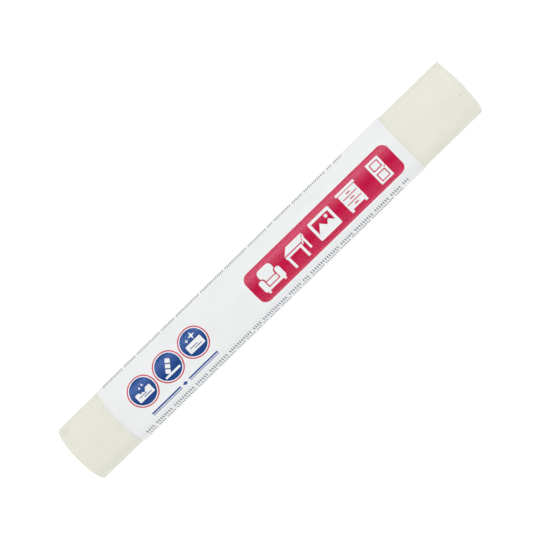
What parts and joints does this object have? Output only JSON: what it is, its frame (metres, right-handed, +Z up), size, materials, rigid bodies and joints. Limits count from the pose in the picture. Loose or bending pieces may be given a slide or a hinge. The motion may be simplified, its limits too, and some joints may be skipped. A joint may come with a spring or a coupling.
{
  "type": "furniture repair wax stick",
  "caption": "Round stick of pale filler wax, bare at both ends, with a paper label glued round its middle, rubbed into scratches to fill them.",
  "frame": {"origin": "on the surface that the stick lies on, below the middle of its length", "axes": "+X along the stick towards its nose, the longer bare end, +Y away from a viewer who reads the label from above with the nose on the right, +Z up"},
  "size_m": [0.1004, 0.013, 0.0131],
  "materials": {
    "wax": "pale ivory filler wax, satin, slightly translucent, with faint mottling and a few pits",
    "adhesive": "thin tacky coat of label adhesive",
    "label_paper": "white coated label paper, semi-gloss, printed in red, blue and grey"
  },
  "bodies": {
    "root": {"wax_stick": "wax", "label_adhesive": "adhesive", "label_paper": "label_paper"}
  },
  "joints": []
}
